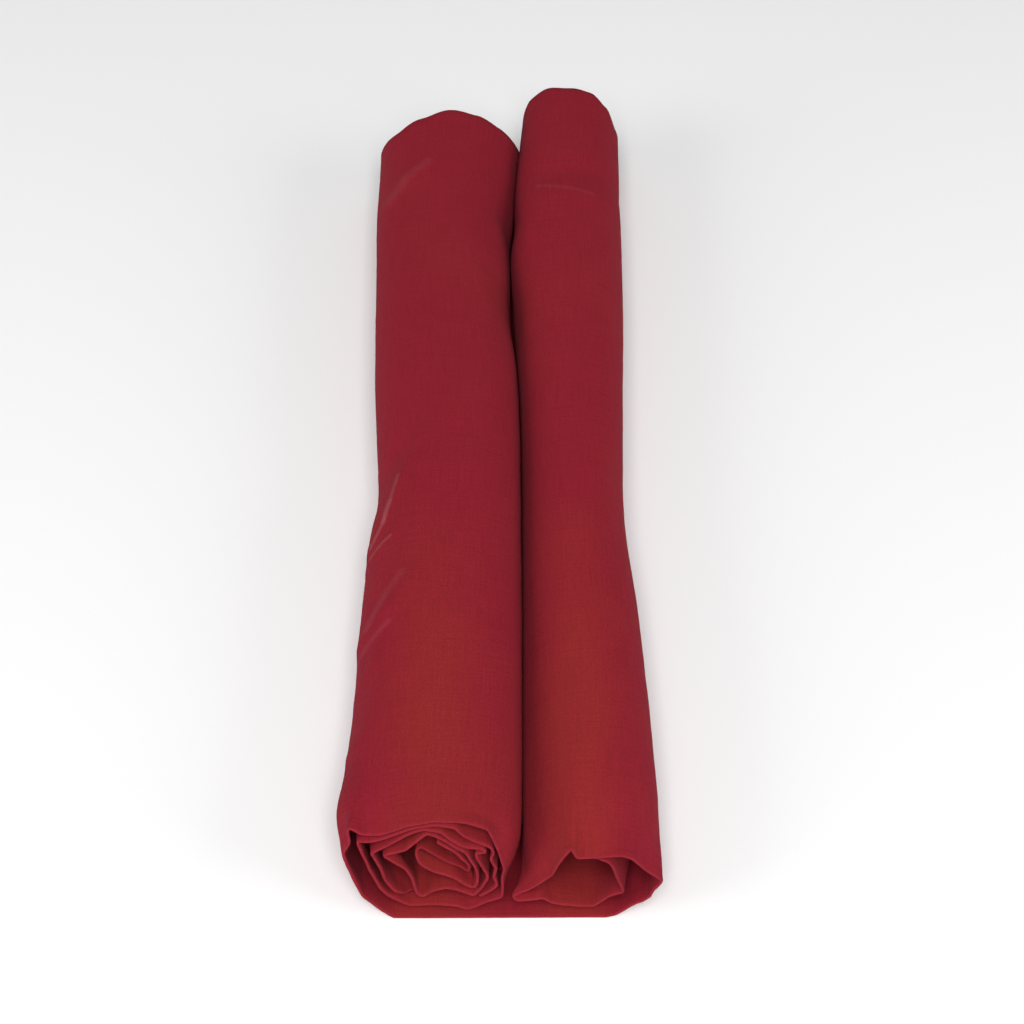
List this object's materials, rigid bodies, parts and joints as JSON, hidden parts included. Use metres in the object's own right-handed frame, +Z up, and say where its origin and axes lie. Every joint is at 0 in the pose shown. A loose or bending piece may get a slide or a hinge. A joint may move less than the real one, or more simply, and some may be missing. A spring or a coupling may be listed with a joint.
{
  "type": "turban cloth, folded and rolled from both ends",
  "caption": "Length of crimson cotton voile turban cloth, folded and rolled from both ends into side-by-side rolls, lying flat with its near ends open and crumpled.",
  "frame": {"origin": "middle of the cloth's underside, on the surface that it lies on", "axes": "+Z up; +Y along the two rolls, away from their open crumpled ends; +X from the thicker left roll towards the thinner right one"},
  "size_m": [0.1599, 0.5723, 0.064],
  "materials": {
    "cotton_voile": "matte, fine plain weave, soft sheen"
  },
  "bodies": {
    "root": {"turban_cloth": "cotton_voile"}
  },
  "joints": []
}
